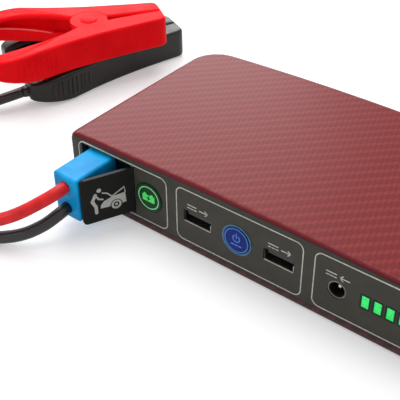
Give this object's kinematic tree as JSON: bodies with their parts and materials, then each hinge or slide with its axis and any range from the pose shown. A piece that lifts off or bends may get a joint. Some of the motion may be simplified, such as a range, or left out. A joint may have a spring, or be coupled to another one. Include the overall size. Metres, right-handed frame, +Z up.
{
  "type": "jump starter pack",
  "caption": "Slim car jump starter pack with front ports, a hinged socket cover and a plug-in cable set that ends in two spring clamps.",
  "frame": {"origin": "bottom centre of the pack body, on the face it rests on", "axes": "+X along the body's length to the gauge end, +Y from the front panel to the back, +Z up"},
  "size_m": [0.2912, 0.2015, 0.0326],
  "materials": {
    "red_case": "gloss woven-look film",
    "lip_case": "satin woven-look film",
    "panel_plastic": "satin",
    "black_plastic": "fine moulded texture",
    "steel": "plain",
    "brass": "turned",
    "copper": "pressed copper",
    "board": "solder resist",
    "light_green": "translucent",
    "light_blue": "translucent",
    "button_green": "satin",
    "button_blue": "satin",
    "bezel": "gloss",
    "lamp": "plain",
    "relay_plastic": "plain",
    "cell_foil": "pouch foil",
    "foam": "closed-cell foam",
    "plug_blue": "moulded nylon",
    "lead_red": "soft silicone jacket",
    "lead_black": "soft silicone jacket",
    "clamp_red": "moulded",
    "clamp_black": "moulded"
  },
  "bodies": {
    "root": {"top_shell": "red_case", "bottom_shell": "lip_case", "front_panel": "panel_plastic", "shell_screws": "steel", "socket_housing": "black_plastic", "socket_contact_positive": "brass", "socket_contact_negative": "brass", "cover_hinge_pin": "steel", "usb_shell_left": "steel", "usb_shell_right": "steel", "usb_tongue_left": "black_plastic", "usb_tongue_right": "black_plastic", "dc_jack": "black_plastic", "dc_jack_pin": "steel", "gauge_light_pipe": "light_green", "gauge_leds": "lamp", "power_bezel": "bezel", "start_switch": "relay_plastic", "power_switch": "relay_plastic", "main_board": "board", "board_screws": "steel", "board_capacitors": "relay_plastic", "board_inductor": "relay_plastic", "start_relay": "relay_plastic", "positive_lead_front": "lead_red", "positive_lead_rear": "lead_red", "negative_lead": "lead_black", "terminal_positive": "brass", "terminal_negative": "brass", "link_board": "board", "cell_bottom": "cell_foil", "cell_middle": "cell_foil", "cell_top": "cell_foil", "cell_pad_bottom": "foam", "cell_pad_top": "foam"},
    "start_button": {"start_button": "button_green", "start_light_ring": "light_green"},
    "power_button": {"power_button": "button_blue", "power_light_ring": "light_blue"},
    "socket_cover": {"socket_cover": "black_plastic"},
    "cable_set": {"plug_shell": "plug_blue", "plug_pin_positive": "brass", "plug_pin_negative": "brass", "red_lead": "lead_red", "black_lead": "lead_black", "red_front_arm": "clamp_red", "red_sleeve": "lead_black", "red_pivot_pin": "steel", "red_spring": "steel", "red_jaw_front": "copper", "black_front_arm": "clamp_black", "black_sleeve": "lead_black", "black_pivot_pin": "steel", "black_spring": "steel", "black_jaw_front": "copper"},
    "red_jaw": {"red_back_arm": "clamp_red", "red_jaw_back": "copper"},
    "black_jaw": {"black_back_arm": "clamp_black", "black_jaw_back": "copper"}
  },
  "joints": [
    {"name": "start_press", "type": "slide", "parent": "root", "child": "start_button", "axis": [0, 1, 0], "range_m": [0, 0.0006], "stiffness_N_per_m": 2000, "springref_m": -0.0004},
    {"name": "power_press", "type": "slide", "parent": "root", "child": "power_button", "axis": [0, 1, 0], "range_m": [0, 0.0006], "stiffness_N_per_m": 2000, "springref_m": -0.0004},
    {"name": "cover_hinge", "type": "hinge", "parent": "root", "child": "socket_cover", "pos_m": [-0.0523, -0.0476, 0.0169], "axis": [0, 0, 1], "range_deg": [0, 45]},
    {"name": "plug_pull", "type": "slide", "parent": "root", "child": "cable_set", "axis": [0, -1, 0], "range_m": [0, 0.02]},
    {"name": "red_clamp_hinge", "type": "hinge", "parent": "cable_set", "child": "red_jaw", "pos_m": [-0.15365, 0.0327, 0.02365], "axis": [0, 0, 1], "range_deg": [0, 30], "stiffness_Nm_per_rad": 0.8, "springref_deg": -28.65, "deforming": ["red_spring"]},
    {"name": "black_clamp_hinge", "type": "hinge", "parent": "cable_set", "child": "black_jaw", "pos_m": [-0.15515, 0.0487, 0.00775], "axis": [0, 0, 1], "range_deg": [0, 30], "stiffness_Nm_per_rad": 0.8, "springref_deg": -28.65, "deforming": ["black_spring"]}
  ]
}
